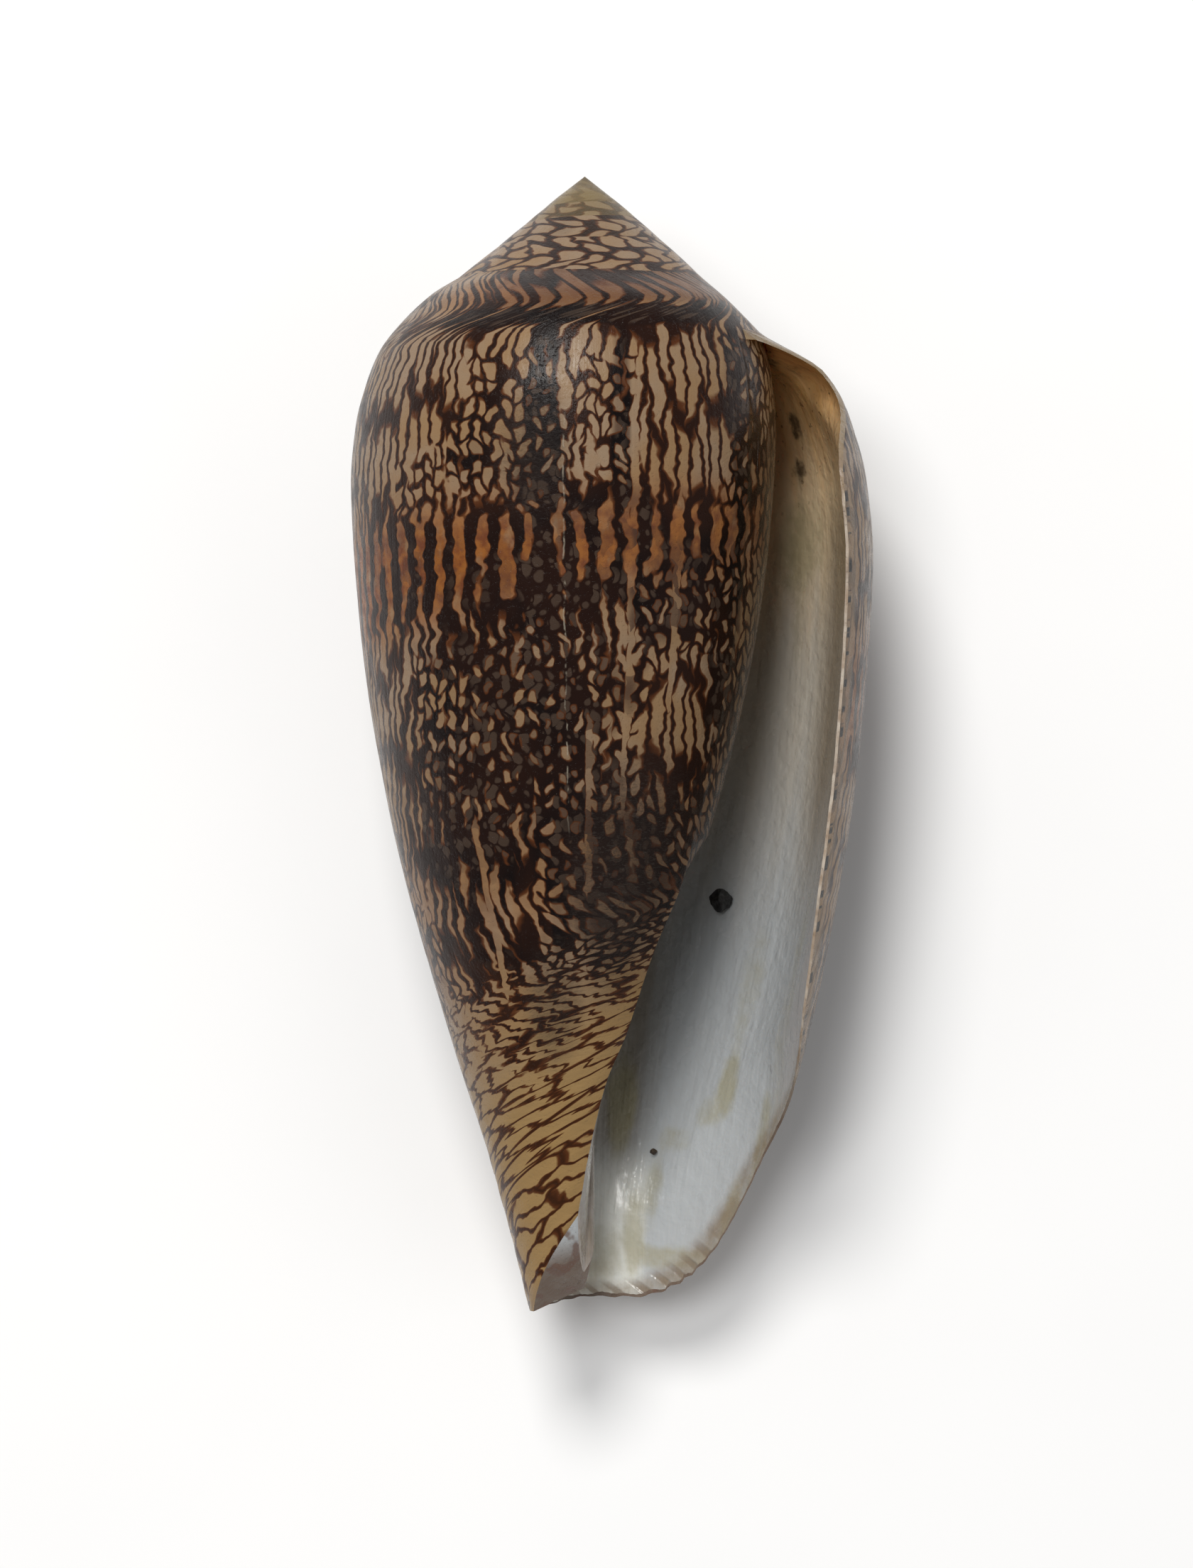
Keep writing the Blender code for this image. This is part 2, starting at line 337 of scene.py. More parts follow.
def hollowSolid():
    # the room behind the lip, as loops round its section from the shoulder to the end
    verts, faces, places, loops = [], [], [], []
    steps, slices = meshDetail["sliceSteps"], meshDetail["slices"]
    top = sutureAt(0.0) + hollowShape["top"]
    for k in range(slices + 1):
        share = (k / slices) ** meshDetail["sliceSpacing"]
        middle = top + (hollowShape["bottom"] - top) * share
        innerLip, deep = curve(hollowShape["innerLip"], middle), curve(hollowShape["deepEnd"], middle)
        front = innerLip + hollowShape["frontReach"]
        inner, outer = [], []
        for n in range(steps + 1):
            along = n / steps
            angle = front + (deep - front) * along
            here = growth(angle) * (sutureAt(angle) + hollowShape["top"])
            height = here + (hollowShape["bottom"] - here) * share
            a, b = hollowInside(height, angle, innerLip), hollowOutside(height, angle)
            b = max(b, a + 0.1)
            # the deep end is rounded off
            narrow = 0.5 * (b - a) * (1.0 - math.sqrt(1.0 - max(0.0, along * 8 - 7) ** 2))
            spot = (angle / 360.0, height / 100.0)
            inner.append((placed(a + narrow, height, angle), spot))
            outer.append((placed(b - narrow, height, angle), spot))
        loop = inner + outer[-2::-1]
        loops.append([(len(verts) + n, spot) for n, (point, spot) in enumerate(loop)])
        verts.extend(point for point, spot in loop)

    looks = []

    def face(*corners, patterned=False):
        kept = list(dict.fromkeys(corners))
        faces.append([c[0] for c in kept])
        for vert, (turn, height) in kept:
            if patterned:
                # this is the whorl before, still with its own pattern
                places.append((turn - 1.0, height / growth(360.0 * turn - 360.0)))
            else:
                places.append((turn, height))
        looks.append(finishNumber["outside" if patterned else "inside"])

    for a, b in zip(loops, loops[1:]):
        for n in range(len(a)):
            turn, height = b[n][1]
            onWhorl = 0 < n <= steps and turn > -0.2 and height * 100.0 < hollowShape["glazeFrom"]
            face(a[n - 1], a[n], b[n], b[n - 1], patterned=onWhorl)
    for loop in (loops[0], loops[-1]):
        for n in range(steps):
            face(loop[n], loop[n + 1], loop[-2 - n], loop[-1 - n])
    return verts, faces, places, looks


shellPose = Matrix.Translation(Vector(spiral["place"]) * mm)
shellPose = shellPose @ Matrix.Rotation(math.radians(spiral["tilt"]), 4, "X") @ Matrix.Scale(mm, 4)


def meshFrom(name, parts):
    verts, faces, places, looks = parts
    mesh = bpy.data.meshes.new(name)
    mesh.from_pydata([shellPose @ Vector(v) for v in verts], [], faces)
    growthMap = mesh.uv_layers.new(name="growthMap")
    growthMap.data.foreach_set("uv", [x for spot in places for x in spot])
    mesh.polygons.foreach_set("material_index", looks)
    bm = bmesh.new()
    bm.from_mesh(mesh)
    bmesh.ops.triangulate(bm, faces=[f for f in bm.faces if len(f.verts) > 3])
    bmesh.ops.recalc_face_normals(bm, faces=bm.faces)
    bm.to_mesh(mesh)
    bm.free()
    return mesh


def addObject(name, data):
    obj = bpy.data.objects.new(name, data)
    bpy.context.scene.collection.objects.link(obj)
    return obj


# small helpers for nodes, which go into the tree that is on the bench

bench = {}


def plug(value, socket):
    if isinstance(value, bpy.types.NodeSocket):
        bench["tree"].links.new(value, socket)
    elif socket.type == "RGBA":
        socket.default_value = (*value, 1.0)
    else:
        socket.default_value = value


def addNode(kind, settings=None, **inputs):
    # n0, n1 and so on stand for a node's inputs by number
    made = bench["tree"].nodes.new("ShaderNode" + kind)
    for key, value in (settings or {}).items():
        setattr(made, key, value)
    for key, value in inputs.items():
        numbered = key[0] == "n" and key[1:].isdigit()
        plug(value, made.inputs[int(key[1:]) if numbered else key])
    return made


def maths(operation, a, b=0.0, c=0.0, clamp=False):
    made = addNode("Math", {"operation": operation, "use_clamp": clamp}, n0=a, n1=b, n2=c)
    return made.outputs[0]


def plus(a, b, clamp=False):
    return maths("ADD", a, b, clamp=clamp)


def minus(a, b, clamp=False):
    return maths("SUBTRACT", a, b, clamp=clamp)


def times(total, *others):
    for other in others:
        total = maths("MULTIPLY", total, other)
    return total


def spread(value, low, high, toLow=0.0, toHigh=1.0, soft=True):
    made = addNode("MapRange", {"interpolation_type": "SMOOTHSTEP" if soft else "LINEAR"},
                   n0=value, n1=low, n2=high, n3=toLow, n4=toHigh)
    return made.outputs[0]


def grade(value, ends):
    # straight from the first number where the value is 0 to the second where it is 1
    return spread(value, 0.0, 1.0, *ends, soft=False)


def within(*limits):
    # each limit is a value, where its mask is 0 and where it is 1
    return times(*[spread(*limit) for limit in limits])


def mixColour(amount, first, second):
    return addNode("Mix", {"data_type": "RGBA"}, n0=amount, n6=first, n7=second).outputs[2]


def mixNumber(amount, first, second):
    return addNode("Mix", {"data_type": "FLOAT"}, n0=amount, n2=first, n3=second).outputs[0]


def noiseAt(place, scale, detail=2.0, roughness=0.5, distortion=0.0):
    made = addNode("TexNoise", Vector=place, Scale=scale, Detail=detail,
                   Roughness=roughness, Distortion=distortion)
    return made.outputs["Fac"]


def swing(place, scale=1.0, detail=1.0):
    # noise that swings about zero
    return minus(noiseAt(place, scale, detail), 0.5)


def vectorOf(x=0.0, y=0.0, z=0.0):
    return addNode("CombineXYZ", X=x, Y=y, Z=z).outputs[0]


def stretched(x, y, byX, byY, z=0.0):
    return vectorOf(times(x, byX), times(y, byY), z)


def mapPlace(name, byX=1.0, byY=1.0):
    place = addNode("UVMap", {"uv_map": name}).outputs[0]
    spot = addNode("SeparateXYZ", Vector=place).outputs
    return times(spot[0], byX), times(spot[1], byY)


def bodyPlace():
    return addNode("TexCoord").outputs["Object"]


def readMark(name):
    return addNode("Attribute", {"attribute_name": name}).outputs["Fac"]


def addBumps(shader, *layers):
    # each layer is a height and how far it stands out, in metres
    normal = None
    for height, distance in layers:
        bump = addNode("Bump", Height=height, Distance=distance, Strength=1.0)
        if normal is not None:
            plug(normal, bump.inputs["Normal"])
        normal = bump.outputs[0]
    plug(normal, shader.inputs["Normal"])


def startGroup(name, inputs, outputs):
    tree = bench["tree"] = bpy.data.node_groups.new(name, "ShaderNodeTree")
    for socketName, kind, value in inputs:
        socket = tree.interface.new_socket(socketName, in_out="INPUT", socket_type="NodeSocket" + kind)
        if value is not None:
            socket.default_value = value
    for socketName, kind in outputs:
        tree.interface.new_socket(socketName, in_out="OUTPUT", socket_type="NodeSocket" + kind)
    start = tree.nodes.new("NodeGroupInput")
    end = tree.nodes.new("NodeGroupOutput")
    return tree, start.outputs, end.inputs


def useGroup(group, **inputs):
    return addNode("Group", {"node_tree": group}, **inputs).outputs


def startMaterial(name, fixed=None):
    # fixed holds what is the same all over the surface, by the shader's own names
    made = bpy.data.materials.new(name)
    made.use_nodes = True
    bench["tree"] = made.node_tree
    shader = made.node_tree.nodes["Principled BSDF"]
    for key, value in (fixed or {}).items():
        shader.inputs[key].default_value = value
    return made, shader


# cells laid out along the growth lines: distance from the walls, from the middle, and a lot number
cellGroup, given, result = startGroup(
    "growthCells",
    [("Across", "Float", 0.0), ("Along", "Float", 0.0), ("Width", "Float", 0.6),
     ("Length", "Float", 2.0), ("Random", "Float", 0.8)],
    [("Wall", "Float"), ("Middle", "Float"), ("Lot", "Float")],
)
cellPlace = vectorOf(maths("DIVIDE", given["Across"], given["Width"]),
                     maths("DIVIDE", given["Along"], given["Length"]))
walls, middles = [
    addNode("TexVoronoi", {"voronoi_dimensions": "2D", "feature": feature},
            Vector=cellPlace, Scale=1.0, Randomness=given["Random"]).outputs
    for feature in ("DISTANCE_TO_EDGE", "F1")
]
plug(walls["Distance"], result["Wall"])
plug(middles["Distance"], result["Middle"])
plug(addNode("SeparateColor", Color=middles["Color"]).outputs[0], result["Lot"])

# fine unevenness for bump and gloss, with the size of the grain in mm
grainGroup, given, result = startGroup(
    "fineGrain",
    [("Place", "Vector", None), ("Size", "Float", 0.2), ("Pits", "Float", 0.5)],
    [("Height", "Float"), ("Wear", "Float")],
)
grainScale = maths("DIVIDE", 1000.0, given["Size"])
even = noiseAt(given["Place"], grainScale, 3.0, 0.6)
coarse = noiseAt(given["Place"], times(grainScale, 0.12), 4.0, 0.65)
pitted = times(minus(spread(even, 0.28, 0.42), 1.0), given["Pits"])
plug(plus(even, pitted), result["Height"])
plug(spread(coarse, 0.35, 0.7), result["Wear"])


# how the pattern of the outside is laid on the spiral: angles in degrees, levels and sweeps in mm

patternLayout = {
    # where the pattern starts anew
    "breaks": [-1900, -400, -200, 60],
    # the half profile that the growth lines follow, and how they bend towards the end
    "radius": [
        (20.0, 15.2), (30.0, 14.6), (46.0, 11.4), (57.0, 8.0), (64.0, 4.4), (70.0, 2.1), (76.0, 1.2),
    ],
    "bend": [
        (46.0, 0.0), (52.0, 0.7), (57.0, 3.6), (60.0, 8.4), (64.0, 15.5), (70.0, 25.5), (76.0, 34.5),
    ],
    # the spire's cells are broader and longer, with less sweep
    "spireStarts": 380.0,
    "spireGrowsOver": 120.0,
    "spireBroader": 0.66,
    "spireLonger": 0.7,
    "spireLessSweep": 0.72,
    # on the ramp the lines sweep back to a corner above the shoulder
    "corner": 10.2,
    "rampWidth": 2.35,
    "cornerFade": 2.5,
    "sweep": 6.4,
    "sweepBack": 4.0,
    # towards the end the cells turn to lie across
    "turnFrom": 56.0,
    "turnOver": 14.0,
    "turnShorter": 0.75,
    "turnSlope": 4.5,
}

# soft marks on the outside: angle, level, half widths in degrees and mm, strength
outsideMarks = {
    "darkness": [
        (-289, 30, 5, 26, 1.0), (-270, 29, 46, 4.5, 0.5), (-300, 29, 22, 4.6, 0.8),
        (-262, 47, 24, 7, 0.6), (-318, 54, 20, 6.5, 0.75), (-300, 50, 14, 8, 0.6),
        (-310, 20, 2.6, 11, 0.7), (-317, 31, 5, 5, 0.7), (-352, 20, 7, 8, 0.75), (-350, 36, 8, 9, 0.7),
        (-268, 20, 9, 4, 0.35), (-340, 54, 10, 7, 0.6), (-312, 11.3, 60, 0.95, 1.0),
        (-300, 9.2, 80, 1.8, 0.45), (-288, 42, 17, 11, 0.6), (-268, 57, 22, 5, 0.45),
        (-272, 39, 34, 17, 0.42), (-270, 60, 16, 3, 0.35), (-243, 36, 9, 9, 0.3), (-332, 31, 20, 3.5, 0.5),
        (-196, 33, 6, 24, 0.8), (-160, 26, 26, 5, 0.6), (-170, 50, 22, 7, 0.6), (-120, 40, 7, 20, 0.8),
        (-100, 28, 34, 5, 0.6), (-70, 50, 20, 8, 0.6), (-48, 30, 8, 16, 0.6), (-130, 54, 14, 6, 0.6),
        (-20, 29, 10, 5, 0.4), (-36, 52, 26, 6.5, 0.95),
    ],
    "strips": [
        (-330, 19, 15, 9.5, 1.0), (-335, 43, 15, 5.5, 1.0), (-322, 54, 5, 6, 0.3),
        (-228, 34, 18, 16, 0.8), (-262, 29, 30, 5, 1.0), (-245, 16, 24, 5, 0.7), (-250, 52, 22, 9, 0.6),
        (-300, 10, 60, 4, 1.0), (-304, 29.5, 9, 5.5, 1.0), (-268, 29, 18, 5, 1.0),
        (-255, 68, 120, 9, 0.9), (-180, 20, 24, 9, 0.8), (-140, 44, 20, 7, 0.9),
        (-84, 20, 18, 9, 0.9), (-10, 30, 9, 20, 0.9), (-60, 36, 12, 8, 0.8), (-100, 29, 50, 5, 0.8),
    ],
    "warmth": [
        (-180, 28.2, 220, 4.0, 1.0), (-180, 50, 220, 5.5, 0.28), (-300, 9.3, 50, 1.4, 0.75),
        (-430, 9, 90, 3, 0.35),
    ],
    "rubbed": [
        (-318, 53, 22, 7.5, 1.0), (-285, 60, 14, 4, 0.6), (-286, 21, 9, 4, 0.5),
        (-60, 44, 16, 8, 0.6), (-160, 38, 12, 7, 0.5),
    ],
}

# soft marks inside: angle, height, and the rest as outside
insideMarks = {
    "blotch": [
        (-54.5, 12.9, 3.4, 0.85, 1.0), (-57.5, 15.2, 3.2, 0.85, 1.0), (-44, 10.0, 14, 0.8, 0.7),
        (-67, 15.8, 4, 0.8, 0.6), (-62, 11.2, 10, 1.6, 0.45), (-45, 12.6, 3, 2.4, 0.35),
        (-104, 48.6, 2.4, 0.34, 0.9), (-79.5, 47.9, 1.2, 0.6, 0.9), (-100.5, 50.3, 1.8, 0.25, 0.8),
        (-47, 20.7, 1.1, 0.26, 1.0), (-39, 47.2, 1.2, 0.35, 0.8), (-44, 49.4, 1.0, 0.25, 0.8),
    ],
    "stain": [
        (-60, 19.5, 9, 2.6, 0.8), (-52, 19.0, 3, 2.4, 0.6), (-60, 24.0, 3, 3.0, 0.5),
        (-59.5, 48.4, 5, 1.9, 1.0), (-66, 49.8, 7, 0.9, 0.7), (-79, 51.4, 10, 0.8, 0.6),
        (-85, 54.0, 5, 2.2, 0.7), (-93, 56.5, 6, 2.6, 0.9), (-104, 49.5, 7, 2.8, 1.0),
        (-60, 43.0, 7, 4.0, 0.5), (-40, 51.5, 4, 3.4, 0.8), (-48, 55.2, 5, 2.2, 0.9),
        (-33, 44.0, 6, 9.0, 0.5), (-70, 57.6, 30, 0.7, 0.8), (-110, 57.5, 14, 2.0, 0.7),
    ],
}


def columnOf(points, levels):
    table = np.linspace(points[0][0], points[-1][0], 400)
    return np.interp(levels, table, [curve(points, x) for x in table])


def marked(marks, angle, level):
    total = np.zeros_like(angle)
    for markAngle, markLevel, wide, tall, strength in marks:
        far = ((angle - markAngle) / wide) ** 2 + ((level - markLevel) / tall) ** 2
        total = np.maximum(total, strength * np.exp(-far * far * 0.7))
    return total


def readAll(items, key, kind, width=1):
    values = np.zeros(len(items) * width, dtype=kind)
    items.foreach_get(key, values)
    return values


def layPattern(mesh):
    # pattern coordinates in mm along and across the growth lines, and the soft marks
    lay = patternLayout
    places = readAll(mesh.uv_layers["growthMap"].data, "uv", np.float32, 2)
    angle, height = places[0::2] * 360.0, places[1::2] * 100.0
    totals = readAll(mesh.polygons, "loop_total", np.int32)
    starts = np.concatenate(([0], np.cumsum(totals)[:-1]))
    finish = readAll(mesh.polygons, "material_index", np.int32)
    # inside faces hold heights, the others levels
    inside = np.repeat(finish == finishNumber["inside"], totals)
    level = height.copy()
    level[inside] /= growth(angle[inside])
    faceAngle = np.add.reduceat(angle, starts) / totals
    breaks = np.array(lay["breaks"], dtype=float)
    sector = np.clip(np.searchsorted(breaks, faceAngle) - 1, 0, len(breaks) - 2)
    sector = np.repeat(sector, totals)
    fromMiddle = np.radians(angle - 0.5 * (breaks[sector] + breaks[sector + 1]))
    size = growth(angle)
    # growth along the shoulder in mm
    turns = np.arange(lay["breaks"][0], lay["breaks"][-1] + 1.0)
    slower = np.clip((-turns - lay["spireStarts"]) / lay["spireGrowsOver"], 0.0, 1.0)
    pace = (1.0 - lay["spireBroader"] * slower) * growth(turns)
    shoulder = lay["radius"][0][1]
    base = shoulder * np.interp(angle, turns, np.radians(np.cumsum(pace)))
    narrower = (columnOf(lay["radius"], level) - shoulder) * fromMiddle
    above = np.clip((lay["corner"] - level) / lay["rampWidth"], 0.0, 1.0)
    below = np.clip((level - lay["corner"]) / lay["cornerFade"], 0.0, 1.0)
    sweep = lay["sweep"] * (1.0 - below * below * (3.0 - 2.0 * below)) - lay["sweepBack"] * above ** 1.3
    older = np.clip((-angle - lay["spireStarts"]) / lay["spireGrowsOver"], 0.0, 1.0)
    sweep *= 1.0 - lay["spireLessSweep"] * older
    across = base + (narrower + columnOf(lay["bend"], level) + sweep) * size
    turned = np.clip((level - lay["turnFrom"]) / lay["turnOver"], 0.0, 1.0)
    along = level * (1.0 - lay["turnShorter"] * turned) - fromMiddle * lay["turnSlope"] * turned
    along *= size * (1.0 + lay["spireLonger"] * older)
    both = np.column_stack((across, along)).ravel().astype(np.float32)
    mesh.uv_layers.new(name="patternMap").data.foreach_set("uv", both)
    behind = np.radians(-angle - columnOf(spiral["trail"], level)) * columnOf(spiral["profile"], level)
    values = {name: marked(marks, angle, level) for name, marks in outsideMarks.items()}
    values.update({name: marked(marks, angle, height) for name, marks in insideMarks.items()})
    values["behindLip"] = np.clip(behind, -1.0, 200.0)
    for name, numbers in values.items():
        layer = mesh.attributes.new(name, "FLOAT", "CORNER")
        layer.data.foreach_set("value", numbers.astype(np.float32))


# outside of the shell

outsideLook = {
    "dark": (0.0035, 0.002, 0.002),
    "darkBrown": (0.013, 0.0045, 0.0026),
    "wallEdge": (0.078, 0.024, 0.007),
    "lineBrown": (0.018, 0.0058, 0.0028),
    "farBrown": (0.033, 0.0105, 0.0034),
    "pale": (0.235, 0.145, 0.072),
    "paleGrey": (0.24, 0.168, 0.108),
    "paleShade": (0.22, 0.12, 0.055),
    "orange": (0.235, 0.082, 0.017),
    "orangeShade": (0.12, 0.03, 0.01),
    "rubbed": (0.018, 0.011, 0.009),
    "scratched": (0.05, 0.04, 0.033),
    "olive": (0.185, 0.136, 0.064),
    "yellowEnd": (0.275, 0.172, 0.066),
    "dull": (0.05, 0.026, 0.018),
    "bead": (0.07, 0.046, 0.032),
    "rampPale": (0.115, 0.054, 0.027),
    "scar": (0.3, 0.26, 0.2),
    "lipPale": (0.23, 0.155, 0.088),
    # cells in mm, and how uneven they are
    "longCells": {"Width": 0.76, "Length": 4.6, "Random": 0.75},
    "shortCells": {"Width": 0.72, "Length": 1.06, "Random": 0.6},
    "broadCells": {"Width": 1.35, "Length": 3.0, "Random": 0.8},
    "tinyCells": {"Width": 0.5, "Length": 0.66, "Random": 0.85},
    "stagger": 0.27,
    # half widths of the dark lines as shares of a cell, in pale and in dark places
    "longLine": (0.115, 0.36),
    "netLine": (0.068, 0.165),
    "rampLine": 0.12,
    "endLine": 0.058,
    # how far a short cell reaches from its middle, in pale and in dark places
    "reach": (0.54, 0.41),
    "reachLot": 0.26,
    "rounding": 0.24,
    "snakeLine": 0.24,
    # strips of the orange band: width with their line in mm, and how broad they are
    "bandPitch": 1.25,
    "bandWave": 0.26,
    # how much slow patches thicken the net and strips thin it, and patches shift the end in mm
    "patchDark": 0.62,
    "stripsOpen": 0.35,
    "patchShift": 26.0,
    # how far the growth lines wave, in mm
    "ripple": 0.5,
    "jitter": 0.2,
    "slip": 0.8,
    # levels over which the pattern changes to thin lines towards the end
    "openEnd": (55.0, 66.0),
    "broadEnd": (59.0, 61.5),
    # long pale strips: angle, level, half length in mm, half width in degrees
    "paleRuns": [
        (-313.6, 33.0, 17.0, 1.3), (-327.6, 33.0, 9.0, 1.5), (-301.5, 47.0, 7.0, 1.4),
        (-262.0, 52.0, 7.0, 1.6), (-140.0, 30.0, 15.0, 1.4), (-61.0, 26.0, 12.0, 1.3),
    ],
    "scarAngle": -294.6,
    "roughness": (0.25, 0.39),
    "ridge": 0.00003,
    "grain": 0.000018,
    "fixed": {"Specular IOR Level": 0.17},
}


def outsideMaterial():
    look = outsideLook
    made, shader = startMaterial("conePattern", look["fixed"])
    across, along = mapPlace("patternMap")
    angle, level = mapPlace("growthMap", 360.0, 100.0)
    body = bodyPlace()

    # the growth lines wave together, and each a little on its own
    waveAt = stretched(across, along, 0.22, 0.62)
    ripple = swing(stretched(across, along, 0.9, 1.5))
    jitter = swing(stretched(across, along, 2.1, 1.9, 5.0))
    shift = plus(swing(waveAt), times(ripple, look["ripple"]))
    shift = plus(shift, times(jitter, look["jitter"]))
    shift = times(shift, spread(level, 54.0, 62.0, 1.0, 1.5))
    waved = plus(across, shift)
    slid = plus(along, times(swing(waveAt, 2.3), look["slip"]))

    # dim says how thick the dark net is: soft marks, and slow noise where they don't reach
    patch = noiseAt(body, 150.0, 3.0, 0.6)
    streak = noiseAt(stretched(angle, level, 0.085, 0.03, 4.0), 1.0, 2.0, 0.55)
    strips = plus(readMark("strips"), spread(streak, 0.52, 0.68, 0.0, 0.5), clamp=True)
    strips = minus(strips, spread(angle, -390.0, -440.0), clamp=True)
    dim = plus(readMark("darkness"), spread(patch, 0.4, 0.68, 0.0, look["patchDark"]))
    dim = minus(dim, times(strips, look["stripsOpen"]))
    # a level that wanders with the patches, for a ragged change towards the end
    wander = plus(level, times(minus(patch, 0.5), look["patchShift"]))
    dim = minus(dim, spread(wander, *look["openEnd"]))
    dim = minus(dim, spread(angle, -380.0, -520.0, 0.0, 0.3), clamp=True)

    # every field is above zero in the pale cells and below it in the dark net
    long = useGroup(cellGroup, Across=waved, Along=slid, **look["longCells"])
    lineWidth = minus(grade(dim, look["longLine"]), spread(level, 58.0, 64.0, 0.0, 0.03))
    stripField = times(minus(long["Wall"], lineWidth), look["longCells"]["Width"])
    # short cells, every other row set further on, rounded off where the net is thick
    row = maths("SINE", times(waved, math.pi / look["shortCells"]["Width"]))
    staggered = plus(slid, times(row, look["stagger"]))
    short = useGroup(cellGroup, Across=waved, Along=staggered, **look["shortCells"])
    netField = minus(short["Wall"], grade(dim, look["netLine"]))
    reach = minus(grade(dim, look["reach"]), times(short["Lot"], times(dim, look["reachLot"])))
    reach = minus(reach, short["Middle"])
    netField = times(maths("SMOOTH_MIN", netField, reach, look["rounding"]), 0.74)
    # a few long strips run on through the dark
    snake = minus(minus(long["Wall"], look["snakeLine"]), spread(long["Lot"], 0.8, 0.9, 0.4, 0.0))
    snake = minus(snake, spread(dim, 0.75, 1.0, 0.0, 0.3))
    netField = maths("MAXIMUM", netField, times(snake, 0.5))
    striped = spread(strips, 0.25, 0.55)
    field = mixNumber(striped, netField, stripField)
    # broad strands on the ramp above the shoulder
    broad = useGroup(cellGroup, Across=waved, Along=slid, **look["broadCells"])
    rampField = minus(broad["Wall"], look["rampLine"])
    rampField = minus(rampField, spread(broad["Lot"], 0.62, 0.8, 0.0, 0.12))
    onRamp = within((level, 11.4, 10.4), (angle, -352.0, -336.0), (angle, -268.0, -280.0))
    field = mixNumber(onRamp, field, rampField)
    # broad cells with thin walls towards the end
    endField = times(minus(broad["Wall"], look["endLine"]), 0.9)
    field = mixNumber(spread(wander, *look["broadEnd"]), field, endField)
    # broad strips in the orange band, with a few gaps
    warmth = readMark("warmth")
    stripes = maths("SINE", times(waved, 2.0 * math.pi / look["bandPitch"]))
    gaps = noiseAt(stretched(across, along, 1.0, 0.45, 8.0), 0.8, 2.0)
    gaps = times(minus(gaps, 0.5), 1.2)
    bandField = plus(times(stripes, look["bandWave"]), gaps)
    bandField = minus(bandField, spread(dim, 0.75, 1.0, 0.0, 0.25))
    onBand = within((warmth, 0.55, 0.85), (level, 20.0, 23.0))
    field = mixNumber(onBand, field, bandField)
    # a few pale strips run nearly the whole way down
    sideways = times(shift, 2.6)
    uneven = spread(ripple, -0.2, 0.2, -0.5, 0.35, soft=False)
    for runAngle, runLevel, runLong, runWide in look["paleRuns"]:
        off = maths("ABSOLUTE", plus(minus(angle, runAngle), sideways))
        run = times(minus(plus(uneven, runWide), off), 0.22)
        far = maths("ABSOLUTE", minus(level, runLevel))
        run = minus(run, spread(far, runLong * 0.8, runLong, 0.0, 0.5))
        field = maths("MAXIMUM", field, run)
    field = plus(field, times(swing(body, 2600.0, 2.0), 0.014))

    # colours of the dark net
    darkTone = mixColour(spread(patch, 0.35, 0.65), look["dark"], look["darkBrown"])
    darkTone = mixColour(spread(dim, 0.45, 0.05, 0.0, 0.85), darkTone, look["lineBrown"])
    darkTone = mixColour(spread(wander, 56.0, 63.0), darkTone, look["farBrown"])
    # dim little beads show through it
    tiny = useGroup(cellGroup, Across=waved, Along=slid, **look["tinyCells"])
    bead = minus(times(tiny["Lot"], 0.62), tiny["Middle"])
    bead = within((bead, -0.02, 0.16, 0.0, 0.55), (dim, 0.35, 0.8))
    darkTone = mixColour(bead, darkTone, look["bead"])
    # colours of the pale cells
    tone = spread(noiseAt(body, 240.0, 3.0), 0.35, 0.65)
    paleTone = mixColour(tone, look["pale"], look["paleGrey"])
    shade = noiseAt(body, 1500.0, 3.0)
    paleTone = mixColour(spread(shade, 0.3, 0.8, 0.0, 0.35), paleTone, look["paleShade"])
    warmPatch = noiseAt(stretched(across, along, 1.0, 0.6), 0.9, 3.0)
    warmth = times(warmth, spread(warmPatch, 0.22, 0.46))
    orange = mixColour(spread(shade, 0.35, 0.7), look["orange"], look["orangeShade"])
    paleTone = mixColour(warmth, paleTone, orange)
    dull = within((short["Lot"], 0.25, 0.95, 0.15, 0.9), (dim, 0.12, 0.65), (striped, 0.0, 1.0, 1.0, 0.5))
    paleTone = mixColour(dull, paleTone, look["dull"])
    # greyish brown above the shoulder
    above = within((level, 11.2, 10.2, 0.0, 0.75), (angle, -420.0, -380.0), (angle, -255.0, -285.0))
    paleTone = mixColour(above, paleTone, look["rampPale"])
    # the plain apex and the yellowish end
    plain = spread(angle, -900.0, -1900.0)
    paleTone = mixColour(times(plain, 0.85), paleTone, look["olive"])
    paleTone = mixColour(spread(level, 56.0, 67.0, 0.0, 0.85), paleTone, look["yellowEnd"])
    edgeTone = mixColour(spread(field, -0.045, 0.03), darkTone, look["wallEdge"])
    colour = mixColour(spread(field, 0.015, 0.062), edgeTone, paleTone)
    colour = mixColour(times(plain, 0.75), colour, look["olive"])

    # rubbed, scratched places
    rubbed = readMark("rubbed")
    scratch = noiseAt(stretched(across, along, 1.4, 3.2), 2.2, 5.0, 0.75, 1.2)
    scratches = times(rubbed, spread(scratch, 0.5, 0.62))
    colour = mixColour(times(rubbed, 0.62), colour, look["rubbed"])
    colour = mixColour(times(scratches, 0.55), colour, look["scratched"])

    # the pale scar of an old lip
    scarSway = swing(vectorOf(0.0, times(level, 0.5)), 1.0, 3.0)
    off = maths("ABSOLUTE", plus(minus(angle, look["scarAngle"]), times(scarSway, 2.2)))
    broken = noiseAt(body, 1900.0, 2.0)
    scar = within((off, 0.36, 0.1), (level, 17.0, 22.0), (level, 50.0, 44.0), (broken, 0.44, 0.62))
    colour = mixColour(times(scar, 0.55), colour, look["scar"])

